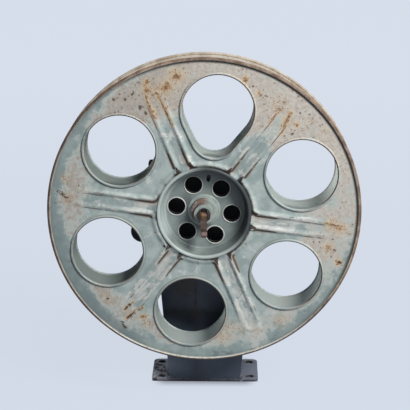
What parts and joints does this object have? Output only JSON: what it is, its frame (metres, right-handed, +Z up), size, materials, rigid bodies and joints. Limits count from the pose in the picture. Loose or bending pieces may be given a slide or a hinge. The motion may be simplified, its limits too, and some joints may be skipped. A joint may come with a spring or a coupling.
{
  "type": "cine film reel on a rewind stand",
  "caption": "Empty pressed-steel cine film reel with lightening holes and ribbed spokes, latched on the spindle of a geared hand-crank rewind stand with a drilled base plate.",
  "frame": {"origin": "centre of the base plate's underside, at the middle of its four holes", "axes": "+Z up, +Y along the reel's axis away from the front flange, +X to the right seen from the front"},
  "size_m": [0.381, 0.2296, 0.4385],
  "materials": {
    "reel_paint": "worn grey-green paint with rust",
    "hub_paint": "grey paint, rubbed at the edges",
    "worn_steel": "dull rusted steel",
    "stand_paint": "dark blue-grey paint, chipped",
    "gear_steel": "oiled cut steel",
    "bush_bronze": "dull bronze",
    "crank_paint": "black enamel",
    "grip_wood": "dark stained turned wood"
  },
  "bodies": {
    "stand": {"base_plate": "stand_paint", "pedestal": "stand_paint", "rear_cover": "stand_paint", "cover_screws": "worn_steel", "front_spindle_bush": "bush_bronze", "rear_spindle_bush": "bush_bronze", "front_crank_bush": "bush_bronze", "rear_crank_bush": "bush_bronze"},
    "reel": {"front_flange": "reel_paint", "rear_flange": "reel_paint", "hub_drum": "reel_paint", "front_hub_cup": "hub_paint", "rear_hub_cup": "hub_paint", "hub_sleeve": "worn_steel", "front_boss": "hub_paint", "rear_boss": "hub_paint", "spindle": "worn_steel", "latch_pin": "worn_steel", "drive_plate": "stand_paint", "drive_dog": "worn_steel", "pinion": "gear_steel", "pinion_pin": "worn_steel"},
    "latch": {"spindle_latch": "worn_steel"},
    "crank": {"crank_shaft": "worn_steel", "drive_wheel": "gear_steel", "wheel_key": "worn_steel", "crank_collar": "worn_steel", "crank_arm": "crank_paint", "crank_nut": "worn_steel", "handle_stud": "worn_steel", "handle_cap": "worn_steel"},
    "grip": {"handle_grip": "grip_wood"}
  },
  "joints": [
    {"name": "reel_spin", "type": "hinge", "parent": "stand", "child": "reel", "pos_m": [0, -0.07705, 0.248], "axis": [0, 1, 0], "continuous": true},
    {"name": "latch_flip", "type": "hinge", "parent": "reel", "child": "latch", "pos_m": [0, -0.1068, 0.248], "axis": [-1, 0, 0], "range_deg": [0, 90]},
    {"name": "crank_turn", "type": "hinge", "parent": "stand", "child": "crank", "pos_m": [0, 0.04, 0.18425], "axis": [0, 1, 0], "continuous": true},
    {"name": "grip_spin", "type": "hinge", "parent": "crank", "child": "grip", "pos_m": [-0.085, 0.08, 0.18425], "axis": [0, 1, 0], "continuous": true}
  ],
  "couplings": [
    {"joint": "crank_turn", "follows": "reel_spin", "ratio": -0.25}
  ]
}
